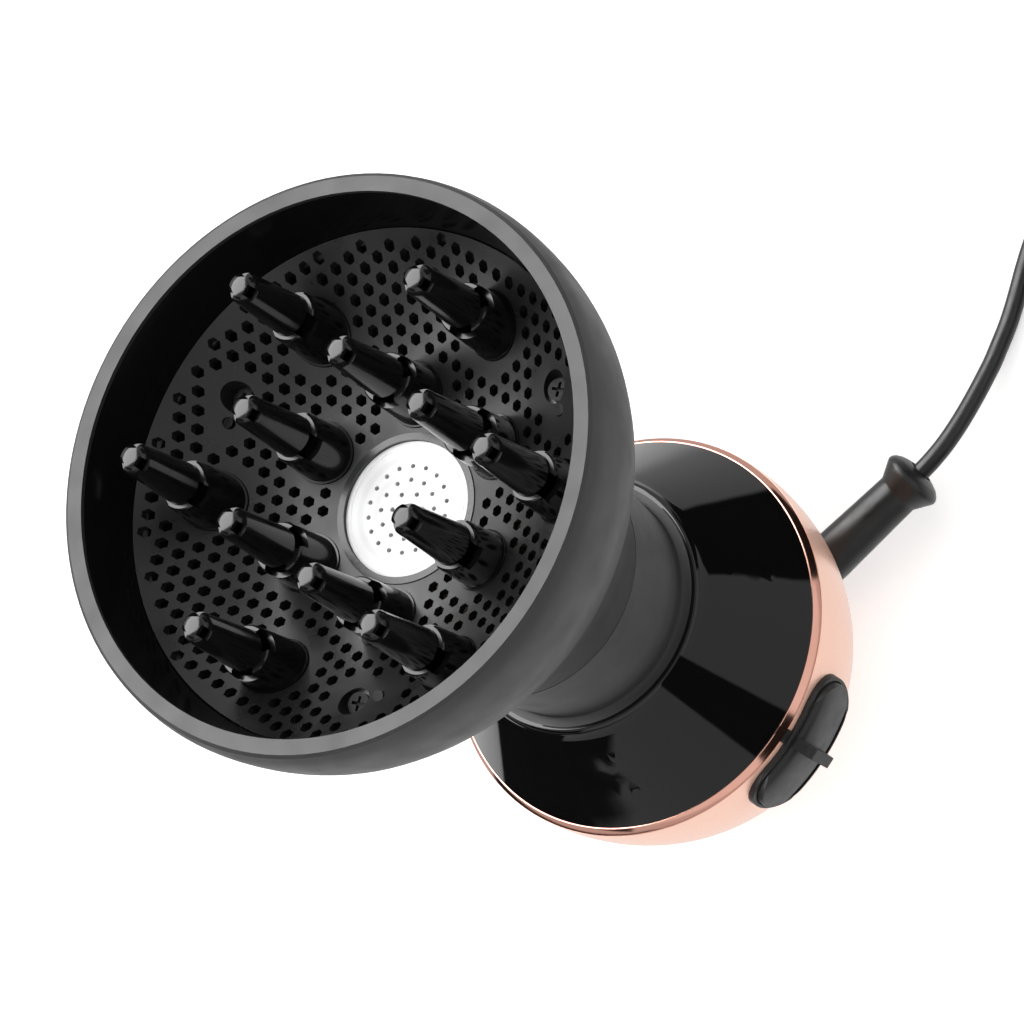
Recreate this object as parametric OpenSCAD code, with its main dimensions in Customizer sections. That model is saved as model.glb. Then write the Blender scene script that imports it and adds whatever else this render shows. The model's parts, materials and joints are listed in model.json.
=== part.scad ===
// Hand-held hair dryer without a handle: a round motor body, a short neck and a
// built-in diffuser bowl with hollow fingers. It stands on its flat rear face.
// +Z is the axis from the rear face to the bowl's mouth, and the switch is at -Y.

/* [Bowl] */
// Height of the bowl's rim above the rear face
rim_z = 252; // [250:0.5:254]
// Outer radius of the rim
rim_r = 85; // [84:0.5:86]
// Width of the flat band on top of the rim
rim_band = 5.2; // [5:0.1:5.4]
// Wall thickness of the bowl and the body shells
wall = 2.4; // [2.2:0.1:2.6]

/* [Finger plate] */
// Radius of the plate's dished top surface
dish_r = 119; // [118:0.5:121]
// Depth of the dish's lowest point below the rim
dish_depth = 49.4; // [48.5:0.1:50]
// Thickness of the plate
plate_t = 2.2; // [2:0.1:2.4]
// Radius of the plate's edge
plate_r = 76.1; // [75.8:0.1:76.2]
// Width of a hexagonal air hole from corner to corner
hex_w = 3.6; // [3:0.1:3.9]
// Distance between columns of air holes
hex_col = 4.68; // [4.5:0.01:4.9]
// Distance between air holes within a column
hex_row = 5.15; // [5:0.05:5.4]

/* [Fingers] */
// Distance between neighbouring fingers
finger_gap = 33.1; // [32.6:0.1:33.4]
// Height of a finger above the plate
finger_h = 45.5; // [44:0.5:46]
// Radius of a finger's foot
foot_r = 9.2; // [9:0.1:9.4]
// Radius of a finger just below its tip
tip_r = 4.7; // [4.5:0.1:5]
// Number of windows around a finger's shoulder, and of small ones at its tip
windows = 3; // [2:1:4]

/* [Body] */
// Radius of the rear shell at its widest
body_r = 63; // [62.5:0.1:63.5]
// Height at which the rear shell is widest
widest_z = 60; // [59.5:0.1:60.5]
// Height of the neck's lower end
neck_z = 100.2; // [100:0.1:100.5]
// Radius of the opening behind the rear grille
intake_r = 33; // [32.5:0.5:33.5]

/* [Switch] */
// Half length of the switch pad, along the body
pad_x = 23; // [22:0.5:24]
// Height of the middle of the pad
pad_z = 48.85; // [48.6:0.05:49]
// Half width of the pad
pad_w = 11.65; // [11.4:0.05:11.8]
// Depth of the rocker's pivot line from the body axis
pivot_y = 58.8; // [58.7:0.05:58.9]

/* [Fan and motor] */
// Inner radius of the fan duct
duct_r = 29.2; // [29:0.1:29.4]
// Number of fan blades
blades = 9; // [7:1:11]
// Number of guide vanes behind the fan
vanes = 7; // [5:1:8]
// Radius of the motor can
can_r = 13; // [12.8:0.1:13.1]
// Radius of the motor shaft
shaft_r = 1.6; // [1.5:0.05:1.6]

/* [Heater] */
// Number of turns of the heating wire
coil_turns = 8; // [5:1:8]
// Radius of the heating wire's coil
coil_r = 26.3; // [26.2:0.1:27]

/* [Cord] */
// Diameter of the cord
cord_d = 6; // [5.5:0.1:6]
// Height of the strain relief's axis
cord_z = 15; // [14.5:0.1:15.5]
// Direction of the strain relief around the body
cord_angle = -16; // [-17:0.5:-15]

/* [Hidden] */
$fn = 96;
FINGERS = 12;
function finger_name(i) = str("finger_", i < 9 ? "0" : "", i + 1);

fit = 0.1;        // gap between fixed pieces that slip together
run = 0.04;       // radial gap of a shaft in its bush
seam_z = rim_z - 116;
dish_z = rim_z - dish_depth;
ball_z = dish_z + dish_r;   // centre of the dish's sphere
plate_back = dish_r + plate_t;
cone_z = 65.2;
shell_z = 62.6;
// How far inside the pad's outline the shell's hole, the bezel's skirt, the inside
// of its tray and the rocker run
hole_in = 0.4;
skirt_in = 0.5;
tray_in = 1;
rocker_in = 1.35;

// ---- lines and small helpers -------------------------------------------------

function polar(r, a) = [r * cos(a), r * sin(a)];
function reversed(p) = [for (i = [len(p) - 1:-1:0]) p[i]];
// Line moved sideways by w, to its left
function beside(p, w) = [for (i = [0:len(p) - 1])
  let (d = p[min(i + 1, len(p) - 1)] - p[max(i - 1, 0)]) p[i] + w * [-d[1], d[0]] / norm(d)];
// Smooth curve through the points of p, with n steps between neighbours
function smooth_step(a, b, c, d, t) =
  (2 * b + (c - a) * t + (2 * a - 5 * b + 4 * c - d) * t * t
   + (3 * b - a - 3 * c + d) * t * t * t) / 2;
function curve(p, n) = let (m = len(p) - 1) concat(
  [for (i = [0:m - 1], k = [0:n - 1])
    smooth_step(p[max(i - 1, 0)], p[i], p[i + 1], p[min(i + 2, m)], k / n)],
  [p[m]]);
// Height of the dish's top surface at distance r from the axis
function dish(r) = ball_z - sqrt(dish_r * dish_r - r * r);

module spin(outline) { rotate_extrude() polygon(outline); }
module ring(r1, r2, z1, z2) { spin([[r1, z1], [r2, z1], [r2, z2], [r1, z2]]); }
module post(p, r, z1, z2) { translate([p[0], p[1], z1]) cylinder(r = r, h = z2 - z1); }
module block(size, at) { translate(at - size / 2) cube(size); }
// Ball around the dish's centre, as wide as r
module dish_ball(r) { translate([0, 0, ball_z]) sphere(r = r, $fn = 160); }

// ---- places ------------------------------------------------------------------

finger_dx = finger_gap * cos(30);
finger_at = concat(
  [for (s = [1, -1]) [0, s * finger_gap]],
  [for (sx = [1, -1], sy = [1, -1]) [sx * finger_dx, sy * finger_gap / 2]],
  [for (sx = [1, -1], sy = [1, -1]) [sx * finger_dx, sy * finger_gap * 1.5]],
  [for (s = [1, -1]) [s * finger_dx * 2, 0]]);
screw_at = [for (a = [90, 210, 330]) polar(60.6, a)];
pin_at = [for (a = [97.4, 217.3, 323.3]) polar(59.5, a)];
housing_at = [for (a = [45:90:315]) polar(50, a)];

// Air holes: a honeycomb that leaves room for fingers, screws and pins
function far_from(p, places, d) = min([for (q = places) norm(p - q)]) > d;
hole_at = [for (i = [-16:16], j = [-16:16])
  let (p = [i * hex_col, (j + (i % 2 == 0 ? 0 : 0.5)) * hex_row])
  if (norm(p) > 26.5 && norm(p) < 74 && far_from(p, finger_at, 11.8)
      && far_from(p, screw_at, 7.5) && far_from(p, pin_at, 6.5)) p];

// Outside of the bowl, from the neck's seam up to the rim
bowl_steps = [[-46.9, -116], [-43.1, -105], [-38.9, -95], [-32.2, -81], [-24, -67],
  [-15.1, -53], [-7.2, -40], [-2.6, -30], [-1, -25], [0.1, -20], [0.8, -15], [1.25, -10], [1.2, -5],
  [0.3, -0.7]];
bowl_line = curve([for (s = bowl_steps) [rim_r, rim_z] + s], 3);

// Outside of the rear shell, from the rear face up
function shell_r(z) = body_r * sqrt(1 - pow((z - widest_z) / 73.5, 2));
shell_line = [for (i = [0:25]) let (z = shell_z * i / 25) [shell_r(z), z]];

// Outside of the gloss cone, from its lower edge up to the neck
cone_line = [[61, cone_z], [41.9, 95.9], [41.1, 97.1], [40.6, 98.2], [40.3, 99], [39.6, 99.8],
  [38.6, neck_z]];

// ---- bowl --------------------------------------------------------------------

module diffuser_bowl() {
  inside = beside(bowl_line, wall);
  inner_end = inside[len(inside) - 4];
  spigot_r = 35.5;
  module posts() {
    for (p = screw_at) post(p, 4, seam_z + 30, dish_z + 9.4);
    for (p = pin_at) post(p, 3, seam_z + 30, dish_z + 9.8);
  }
  color([0.22, 0.22, 0.23]) difference() {
    union() {
      spin(concat(bowl_line, [[rim_r - 0.7, rim_z], [rim_r - rim_band, rim_z],
        [rim_r - rim_band, rim_z - 1.6], [inner_end[0], rim_z - 1.6]],
        reversed([for (p = inside) if (p[1] < rim_z - 1.6) p])));
      spin([[74, dish_z + 21.6], [74, dish_z + 22.85], [75.1, dish_z + 23.8],
        [82.4, dish_z + 23.8], [80, dish_z + 16.4], [79.4, dish_z + 16.4]]);
      ring(spigot_r - 2, spigot_r, seam_z - 8, seam_z + 2);
      ring(spigot_r - 2, spigot_r + 1.5, seam_z, seam_z + 2);
      intersection() {
        posts();
        spin(concat(bowl_line, [[0, rim_z], [0, seam_z]]));
      }
    }
    for (p = screw_at) post(p, 1.5 + fit / 2, dish_z - 2.6, dish_z + 10);
    for (p = pin_at) post(p, 1.7 + fit / 5, dish_z + 3.6, dish_z + 10);
  }
}

module bowl_liner() {
  color([0.05, 0.05, 0.055])
    spin([[76.3, dish_z + 23.8], [78.2, dish_z + 23.8], [78.4, dish_z + 28],
      [81.6, rim_z - 1.6], [rim_r - rim_band, rim_z - 1.6], [76.4, dish_z + 27.8]]);
}

module finger_plate() {
  recess_z = dish_z + 11.9;
  color([0.2, 0.2, 0.21]) difference() {
    union() {
      intersection() {
        dish_ball(plate_back);
        ring(22.6, plate_r, dish_z - 3, dish_z + 30);
      }
      ring(plate_r - 2, plate_r, dish_z + 23.8, dish_z + 27);
      for (p = screw_at) post(p, 6.2, dish_z + 9.4, dish_z + 20);
    }
    dish_ball(dish_r);
    for (p = finger_at) post(p, foot_r + fit, dish_z - 5, dish_z + 30);
    for (p = screw_at) {
      post(p, 4.6, recess_z, dish_z + 30);
      post(p, 1.8, dish_z, recess_z + 1);
    }
    for (p = pin_at) post(p, 1.75, dish_z, dish_z + 30);
    for (p = hole_at) translate([p[0], p[1], dish_z - 5]) linear_extrude(40)
      rotate(30) circle(hex_w / 2, $fn = 6);
  }
}

module disc_ring() {
  color([0.3, 0.3, 0.31]) {
    ring(20.45, 22.5, dish_z - 0.4, dish_z + 2.5);
    ring(18.4, 22.5, dish_z - 1.8, dish_z - 0.4);
    intersection() {
      ring(22.4, 23.2, dish_z - 1.8, dish_z + 2);
      difference() {
        dish_ball(plate_back + 1.6);
        dish_ball(plate_back + 0.05);
      }
    }
  }
}

module centre_disc() {
  hole_rings = [[12.9, 18, 10], [8.8, 12, 0], [5, 6, 0]];   // radius, count, first angle
  color([0.85, 0.85, 0.86]) difference() {
    ring(0, 20.35, dish_z - 0.4, dish_z + 1.2);
    ring(18.45, 18.75, dish_z + 1.05, dish_z + 2);
    for (h = hole_rings, k = [0:h[1] - 1])
      post(polar(h[0], h[2] + 360 * k / h[1]), 0.7, dish_z - 1, dish_z + 2);
  }
}

module plate_screws() {
  seat_z = dish_z + 11.9;
  color([0.5, 0.5, 0.5]) for (p = screw_at) difference() {
    union() {
      post(p, 3.4, seat_z, seat_z + 2.2);
      post(p, 1.5, seat_z - 11, seat_z + 1);
    }
    for (a = [20, 110]) translate([p[0], p[1], seat_z + 1.7]) rotate(a)
      cube([4.4, 0.9, 2], center = true);
  }
}

module locating_pins() {
  color([0.6, 0.6, 0.6]) for (p = pin_at) post(p, 1.7, dish_z + 3.6, dish_z + 16.5);
}

// One hollow finger, open below, with air windows at its shoulder and at its tip
module finger(p) {
  z = dish(norm(p));
  h = finger_h;
  shoulder = h - 28.5;
  middle_rows = 25;   // fingers nearer the middle line than this are turned the other way
  toward = abs(p[1]) > middle_rows ? 270 : 90;
  dome = curve([[tip_r + 0.1, h - 4.6], [tip_r, h - 3.2], [tip_r - 0.5, h - 1.7],
    [tip_r - 1.6, h - 0.6], [tip_r - 3, h - 0.12], [0, h]], 3);
  color([0.06, 0.06, 0.065]) difference() {
    union() {
      intersection() {
        translate([p[0], p[1], z]) spin(concat([[0, -14], [8.7, -14], [8.65, 0],
          [7.9, shoulder - 1.2], [7.7, shoulder - 0.4], [7.3, shoulder],
          [tip_r + 1.7, shoulder + 0.04], [tip_r + 1.62, shoulder + 0.5]], dome));
        dish_ball(plate_back + 1.7);
      }
      intersection() {
        post(p, foot_r, dish_z - 10, dish_z + 40);
        difference() {
          dish_ball(plate_back + 1.7);
          dish_ball(dish_r - 0.7);
        }
      }
      intersection() {
        post(p, foot_r + 0.6, dish_z - 10, dish_z + 40);
        difference() {
          dish_ball(plate_back + 1.7);
          dish_ball(plate_back + 0.05);
        }
      }
    }
    translate([p[0], p[1], z]) spin([[0, -15], [7.3, -15], [7.3, 0], [6.3, shoulder - 2],
      [4.9, shoulder], [tip_r - 1.1, h - 4], [tip_r - 1.9, h - 2], [0, h - 1.4]]);
    for (k = [0:windows - 1]) translate([p[0], p[1], z]) rotate(toward + 360 * k / windows) {
      translate([3, -3.5, shoulder - 3.5]) cube([9, 7, 4.7]);
      rotate(270 - toward) translate([2.5, -1.65, h - 3.8]) cube([5, 3.3, 5]);
    }
  }
}

// ---- neck and body shells ----------------------------------------------------

module neck_sleeve() {
  top = seam_z;
  color([0.22, 0.22, 0.23])
    spin([[35.7, top], [37.6, top], [38.1, top - 0.6], [37.2, top - 11], [36.6, top - 24],
      [35.9, neck_z + 6], [35.4, neck_z + 2], [35.7, neck_z + 1.1], [36.6, neck_z + 0.5],
      [38.2, neck_z], [33.2, neck_z], [33.2, top - 10], [35.7, top - 10]]);
}

module gloss_cone() {
  inside = [[58.6, cone_z], [58.6, cone_z + 1.4], [39.4, 95.6], [36, neck_z - 2.2]];
  color([0.04, 0.04, 0.045]) {
    difference() {
      union() {
        spin(concat(cone_line, [[33.1, neck_z], [33.1, neck_z + 10], [31.1, neck_z + 10],
          [31.1, neck_z - 2.2]], reversed(inside)));
        intersection() {
          for (p = housing_at) post(p, 3.6, shell_z - 0.6, 90);
          spin(concat(cone_line, [[0, neck_z], [0, shell_z - 0.6], [61, shell_z - 0.6]]));
        }
      }
      for (p = housing_at) post(p, 1.5 + fit / 2, shell_z - 1, 74);
    }
  }
}

module trim_ring() {
  color([0.9, 0.62, 0.54])
    spin([[57.6, shell_z], [62.85, shell_z], [62.9, shell_z + 0.3], [62.75, shell_z + 0.75],
      [61.35, cone_z - 0.35], [61.3, cone_z - 0.1], [61.1, cone_z], [57.6, cone_z]]);
}

// Outline of the switch pad, drawn inwards by g, as a prism along Y
module pad_prism(g) {
  half = pad_w - g;
  flat = pad_x - pad_w;
  translate([0, -50, pad_z]) rotate([90, 0, 0]) linear_extrude(30) {
    square([2 * flat, 2 * half], center = true);
    for (s = [-1, 1]) translate([s * flat, 0]) circle(half);
  }
}

// Everything inside the rear shell's outer surface
module shell_solid(r_extra) {
  spin(concat([[0, 0]], [for (p = shell_line) p + [r_extra, 0]], [[0, shell_z]]));
}

module rear_shell() {
  inside = [for (p = beside(shell_line, wall)) if (p[1] > wall + 0.4) p];
  cord_boss_r = 9.8;
  color([0.93, 0.78, 0.71]) difference() {
    union() {
      spin(concat(shell_line, [[58.5, shell_z], [58.5, shell_z - 0.1], [57.4, shell_z - 0.1],
        [57.4, cone_z + 3], [56.2, cone_z + 3], [56.2, 58], [57.4, 57],
        [body_r - wall - 0.2, 57]],
        reversed([for (p = inside) if (p[1] < 57) p]), [[inside[0][0] - 0.3, wall],
        [intake_r, wall], [intake_r, 0]]));
      intersection() {
        along_cord() {
          translate([0, 0, 38.6]) cylinder(r = cord_boss_r, h = 30);
          for (s = [-1, 1]) translate([0, s * 12.5, 36.6]) cylinder(r = 3, h = 30);
        }
        shell_solid(0);
      }
    }
    along_cord() {
      translate([0, 0, 30]) cylinder(r = 7.65 + fit, h = 60);
      for (s = [-1, 1]) translate([0, s * 12.5, 30]) cylinder(r = 1.2 + fit / 2, h = 14);
    }
    pad_prism(hole_in);
    block([4.3 + 2 * fit, 20, 10], [0, -65, 62.6]);
  }
}

module rear_grille() {
  color([0.1, 0.1, 0.105]) difference() {
    union() {
      ring(0, intake_r - fit, 0.8, 2.6);
      ring(0, intake_r + 2.3, wall, 4);
    }
    difference() {
      for (k = [0:4]) ring(6 + 5.2 * k, 9 + 5.2 * k, 0, 5);
      for (a = [0:45:135]) rotate(a) block([80, 2.2, 8], [0, 0, 2]);
    }
  }
}

module intake_filter() { color([0.25, 0.25, 0.25]) ring(0, 34.8, 4, 7); }

// ---- switch ------------------------------------------------------------------

floor_r = 60.2;     // top of the switch tray's floor

module switch_bezel() {
  skirt_r = 64.8;
  color([0.2, 0.2, 0.21]) difference() {
    union() {
      intersection() {
        pad_prism(skirt_in);
        ring(57.2, skirt_r, pad_z - pad_w, pad_z + pad_w);
      }
      difference() {
        intersection() {
          pad_prism(0);
          spin([[57.2, pad_z - pad_w], [63.6, pad_z - pad_w], [skirt_r, pad_z - pad_w + 1],
            [skirt_r, pad_z + pad_w - 1], [63.9, pad_z + pad_w], [57.2, pad_z + pad_w]]);
        }
        shell_solid(0.02);
      }
      intersection() {
        block([4.3, 12, 4.2], [0, -60, shell_z - 2.15]);
        ring(60.8, 63.5, 57, shell_z - 0.05);
      }
    }
    intersection() {
      pad_prism(tray_in);
      ring(floor_r, skirt_r + 5, pad_z - pad_w, pad_z + pad_w);
    }
    block([6.8, 12, 14.8], [0, -60, pad_z]);
    translate([0, -pivot_y, pad_z - 9.7]) cylinder(r = 1 + run, h = 19.4);
  }
}

// The rocker pad with its fin, its pivot pins and the lever down to the switch
module switch_rocker() {
  fin_top = 72.3;
  fin_z = [pad_z - 4.4, pad_z + 10.3];
  fin_round = 2.5;
  z1 = pad_z - pad_w + rocker_in;
  z2 = pad_z + pad_w - rocker_in;
  color([0.24, 0.24, 0.25]) {
    difference() {
      intersection() {
        pad_prism(rocker_in);
        spin(concat([[floor_r + 2, z1], [64, z1]],
          curve([[64.5, z1 + 0.4], [65.2, z1 + 2.4], [66.6, pad_z], [67.1, pad_z + 4.6],
            [66.9, z2 - 2.4], [66.3, z2 - 0.9], [65.4, z2 - 0.2], [64.6, z2]], 3),
          [[floor_r + 2, z2]]));
      }
      for (s = [-1, 1]) rotate(s * 13) block([13, 4, 14], [0, -62.2, pad_z]);
    }
    translate([0, 0, fin_z[0]]) rotate([90, 0, -90]) translate([0, 0, -1.8]) linear_extrude(3.6) {
      translate([65, 0]) square([fin_top - 65 - fin_round, fin_z[1] - fin_z[0]]);
      translate([65, fin_round]) square([fin_top - 65, fin_z[1] - fin_z[0] - 2 * fin_round]);
      for (z = [fin_round, fin_z[1] - fin_z[0] - fin_round])
        translate([fin_top - fin_round, z]) circle(fin_round);
    }
    block([2.8, 7, 14], [0, -62.3, pad_z]);
    block([2.8, 8.8, 3.6], [0, -55.6, pad_z]);
    translate([0, -pivot_y, pad_z - 7]) cylinder(r = 1.4, h = 14);
    translate([0, -pivot_y, pad_z - 9.4]) cylinder(r = 1, h = 18.8);
  }
}

module switch_block() {
  color([0.12, 0.12, 0.13]) difference() {
    block([20, 7, 12], [0, -49.1, pad_z]);
    block([5, 6, 4.4], [0, -52.8, pad_z]);
  }
}

module circuit_board() {
  color([0.1, 0.35, 0.2]) union() {
    block([36, 1.6, 32], [0, -44.8, 40]);
    for (s = [-1, 1]) block([8, 6, 6], [s * 9.2, -41, 30]);
    translate([0, -44.1, 32]) rotate([-90, 0, 0]) cylinder(r = 3.5, h = 8);
  }
}

// ---- fan, motor and duct -----------------------------------------------------

module fan_duct() {
  flange = [60, 62];
  color([0.55, 0.55, 0.56]) difference() {
    union() {
      ring(duct_r, duct_r + 1.8, 7, 94);
      ring(duct_r + 1, 55.5, flange[0], flange[1]);
      ring(duct_r - 0.8, duct_r + 0.5, 50, 51.2);
      difference() {
        for (s = [-1, 1]) block([3, 19, 24], [s * 15.5, -34.5, 38]);
        cylinder(r = duct_r + 0.5, h = 90);
      }
    }
    for (p = housing_at) post(p, 1.8, flange[0] - 1, flange[1] + 1);
  }
}

module housing_screws() {
  color([0.5, 0.5, 0.5]) for (p = housing_at) difference() {
    union() {
      post(p, 3.2, 57.8, 60);
      post(p, 1.5, 59, 72);
    }
    for (a = [0, 90]) translate([p[0], p[1], 57.9]) rotate(a) cube([4, 0.9, 2], center = true);
  }
}

module motor_mount() {
  color([0.5, 0.5, 0.52]) {
    ring(can_r + 0.05, can_r + 1.4, 34, 52);
    ring(duct_r - 1, duct_r - 0.05, 36, 50);
    intersection() {
      ring(can_r + 1, duct_r - 0.5, 36, 50);
      for (k = [0:vanes - 1]) rotate(360 * k / vanes)
        translate([21, 0, 43]) rotate([20, 0, 0]) cube([20, 1.3, 20], center = true);
    }
  }
}

module motor_can() {
  color([0.62, 0.63, 0.65]) {
    ring(can_r - 1, can_r, 35, 66);
    ring(3, can_r - 0.5, 35, 36.2);
  }
}

module motor_magnets() {
  color([0.3, 0.3, 0.32]) difference() {
    ring(10.2, can_r - 1 - fit / 5, 40, 60);
    block([60, 9, 30], [0, 0, 50]);
  }
}

module motor_end_cap() {
  color([0.15, 0.15, 0.16]) difference() {
    union() {
      ring(3, can_r, 66, 68.5);
      ring(10, can_r - 1 - fit / 5, 63, 66);
      for (s = [-1, 1]) block([5, 5, 5], [s * 8, 0, 63.6]);
    }
    block([30, 3.05, 3.05], [0, 0, 63]);
  }
}

module bearing_bushes() {
  color([0.75, 0.6, 0.35]) {
    ring(shaft_r + run, 3 - fit / 10, 34.6, 38.4);
    ring(shaft_r + run, 3 - fit / 10, 65.4, 68.5);
  }
}

module carbon_brushes() {
  color([0.1, 0.1, 0.1]) for (s = [-1, 1]) block([5.6, 3, 3], [s * 7.15, 0, 63]);
}

module fan_wheel() {
  tip = duct_r - 0.7;
  color([0.75, 0.76, 0.78]) {
    spin([[0, 12.4], [4, 12.8], [7.5, 14.2], [9.6, 16.4], [10.5, 19], [10.5, 28],
      [shaft_r + 0.01, 28], [shaft_r + 0.01, 15], [0, 15]]);
    intersection() {
      ring(9.8, tip, 13.6, 28);
      for (k = [0:blades - 1]) rotate(360 * k / blades)
        translate([19.5, 0, 21]) rotate([52, 0, 0]) cube([22, 1.2, 26], center = true);
    }
  }
}

module motor_shaft() { color([0.7, 0.7, 0.72]) post([0, 0], shaft_r, 15, 71); }

core_r = 9.6;

module armature_core() {
  color([0.45, 0.45, 0.47]) difference() {
    ring(shaft_r + 0.01, core_r, 42, 58);
    for (a = [0:72:288]) rotate(a) block([6, 3.4, 20], [6.8, 0, 50]);
    for (a = [0:72:288]) rotate(a) block([4, 1.2, 20], [9, 0, 50]);
  }
}

module armature_winding() {
  color([0.72, 0.4, 0.2]) {
    ring(3, 8.6, 39, 42);
    ring(3, 8.6, 58, 60.6);
    intersection() {
      ring(4, 8.6, 41.5, 58.5);
      for (a = [0:72:288]) rotate(a) block([5.4, 3.2, 17], [6.6, 0, 50]);
    }
  }
}

module commutator() {
  color([0.75, 0.45, 0.25]) difference() {
    ring(shaft_r + 0.01, 4.3, 60.6, 65);
    for (a = [0:72:288]) rotate(a + 18) block([1.4, 0.4, 6], [4, 0, 63]);
  }
}

// ---- heater ------------------------------------------------------------------

module heater_frame() {
  color([0.8, 0.76, 0.66]) difference() {
    for (a = [0, 90]) rotate(a) {
      block([2 * (coil_r - 0.9), 0.8, 55], [0, 0, 122.5]);
      block([60.2, 0.8, 5], [0, 0, 97.5]);
      block([60.2, 0.8, 4], [0, 0, 148]);
    }
    for (a = [0:90:270], z = [108:12:144]) rotate(a) translate([17, 5, z]) rotate([90, 0, 0])
      cylinder(r = 2.5, h = 10);
  }
}

// Heating wire as a helix of six-sided section
module heating_wire() {
  wire_r = 0.65;
  pitch = 40 / coil_turns;
  steps = 20 * coil_turns;
  sides = 6;
  pts = [for (i = [0:steps], k = [0:sides - 1])
    let (a = 360 * i / 20, r = coil_r + wire_r * cos(360 * k / sides))
    [r * cos(a), r * sin(a), 103 + pitch * i / 20 + wire_r * sin(360 * k / sides)]];
  color([0.6, 0.45, 0.35]) polyhedron(pts, tube_faces(steps + 1, sides));
}

module heater_sleeve() { color([0.78, 0.74, 0.64]) ring(30.2, 31, 94, 152); }

module thermostat() {
  color([0.7, 0.68, 0.6]) union() {
    block([10, 4, 7], [14, 2.4, 98.6]);
    block([6, 1.2, 4], [14, 5, 98.6]);
  }
}

module thermal_fuse() { color([0.85, 0.85, 0.8]) post([-14, 2.45], 2, 96, 107); }

// ---- cord --------------------------------------------------------------------

// Faces of a closed tube made of rings of points
function tube_faces(rings, sides) = concat(
  [[for (k = [0:sides - 1]) k]],
  [for (i = [0:rings - 2], k = [0:sides - 1]) let (n = (k + 1) % sides)
    [i * sides + k, (i + 1) * sides + k, (i + 1) * sides + n, i * sides + n]],
  [[for (k = [sides - 1:-1:0]) (rings - 1) * sides + k]]);

// Frame whose +Z runs outwards along the strain relief
module along_cord() { translate([0, 0, cord_z]) rotate(cord_angle) rotate([0, 90, 0]) children(); }

bell_z = 88.8;       // along the strain relief, where its bell is widest
bell_floor = 78;
bore_r = cord_d / 2 + 0.15;

module strain_relief() {
  color([0.08, 0.08, 0.085]) along_cord() spin([[0, 36.6], [9, 36.6], [9, 38.5], [7.65, 38.5],
    [7.65, 54], [6.95, bell_z - 7], [6.95, bell_z - 6.2], [7.15, bell_z - 5.6],
    [9.75, bell_z - 0.8], [10, bell_z], [9.8, bell_z + 0.9], [9.1, bell_z + 1.8],
    [7.7, bell_z + 2.8], [5.6, bell_z + 3.6], [bore_r + 0.9, bell_z + 4], [bore_r, bell_z],
    [bore_r, bell_floor], [0, bell_floor]]);
}

module cord_clamp() {
  color([0.3, 0.3, 0.3]) along_cord() difference() {
    block([8, 32, 2.9], [0, 0, 35.15]);
    for (s = [-1, 1]) translate([0, s * 12.5, 30]) cylinder(r = 1.4, h = 10);
    translate([0, 0, 30]) cylinder(r = 2.6, h = 10);
  }
}

module clamp_screws() {
  color([0.5, 0.5, 0.5]) along_cord() for (s = [-1, 1]) translate([0, s * 12.5, 0]) {
    translate([0, 0, 32]) cylinder(r = 2.4, h = 1.7);
    translate([0, 0, 33]) cylinder(r = 1.2, h = 10.6);
  }
}

// Where the cord lies between the strain relief and its coil, in millimetres
cord_route = [[75, -21.5, 15], [84.6, -24.3, 15], [91.1, -25.8, 14.6], [96.1, -26.4, 14],
  [101.1, -26.5, 13.2], [106.8, -26, 12], [112.5, -25, 10.5], [118.3, -23.7, 8.9],
  [124.2, -22.2, 7.3], [129.8, -20.6, 5.7], [135.5, -18.7, 4.4], [140.2, -17.2, 3.5],
  [145, -15.7, 3.1], [153, -13, 3.05], [159.6, -10.6, 3.05], [168.5, -7.8, 3.05],
  [177, -6, 3.05], [183.5, -5.4, 3.05]];
coil_at = [200.4, -53.3];
coil_in_r = 21.3;
coil_out_r = 50.6;
coil_layers = 2;

module power_cord() {
  sides = 10;
  last = len(cord_route) - 1;
  pts = [for (i = [0:last])
    let (d = cord_route[min(i + 1, last)] - cord_route[max(i - 1, 0)],
      t = d / norm(d), u = cross([0, 0, 1], t) / norm(cross([0, 0, 1], t)), v = cross(t, u))
    for (k = [0:sides - 1]) let (a = 360 * k / sides)
      cord_route[i] + cord_d / 2 * (cos(a) * u + sin(a) * v)];
  color([0.07, 0.07, 0.075]) polyhedron(pts, tube_faces(last + 1, sides));
}

module cord_coil() {
  top = cord_d * coil_layers;
  color([0.07, 0.07, 0.075]) translate([coil_at[0], coil_at[1], 0])
    spin([[coil_in_r + 1, 0], [coil_out_r - 1, 0], [coil_out_r, 1.5], [coil_out_r, top - 2.5],
      [coil_out_r - 2, top], [coil_in_r + 2, top], [coil_in_r, top - 2.5], [coil_in_r, 1.5]]);
}

plug_h = 8.2;     // height of the pins above the surface
pin_gap = 19;
pin_r = 2.4;
pin_len = 19;

// Frame whose +X runs from the end of the plug's boot to its pins
module along_plug() { translate([182.4, -101, plug_h]) rotate(180) children(); }

module plug_body() {
  color([0.07, 0.07, 0.075]) along_plug() {
    rotate([0, 90, 0]) cylinder(r1 = 3.8, r2 = 6, h = 18.2);
    intersection() {
      translate([18, -20, -8]) cube([34, 40, 16]);
      union() {
        translate([30, 0, -8]) cylinder(r = 12.5, h = 16);
        translate([34, -16, -8]) cube([18, 32, 16]);
      }
    }
  }
}

module plug_pins() {
  color([0.8, 0.75, 0.6]) along_plug() for (s = [-1, 1])
    translate([52, s * pin_gap / 2, 0]) rotate([0, 90, 0]) cylinder(r = pin_r, h = pin_len);
}

// ---- nodes -------------------------------------------------------------------

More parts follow.
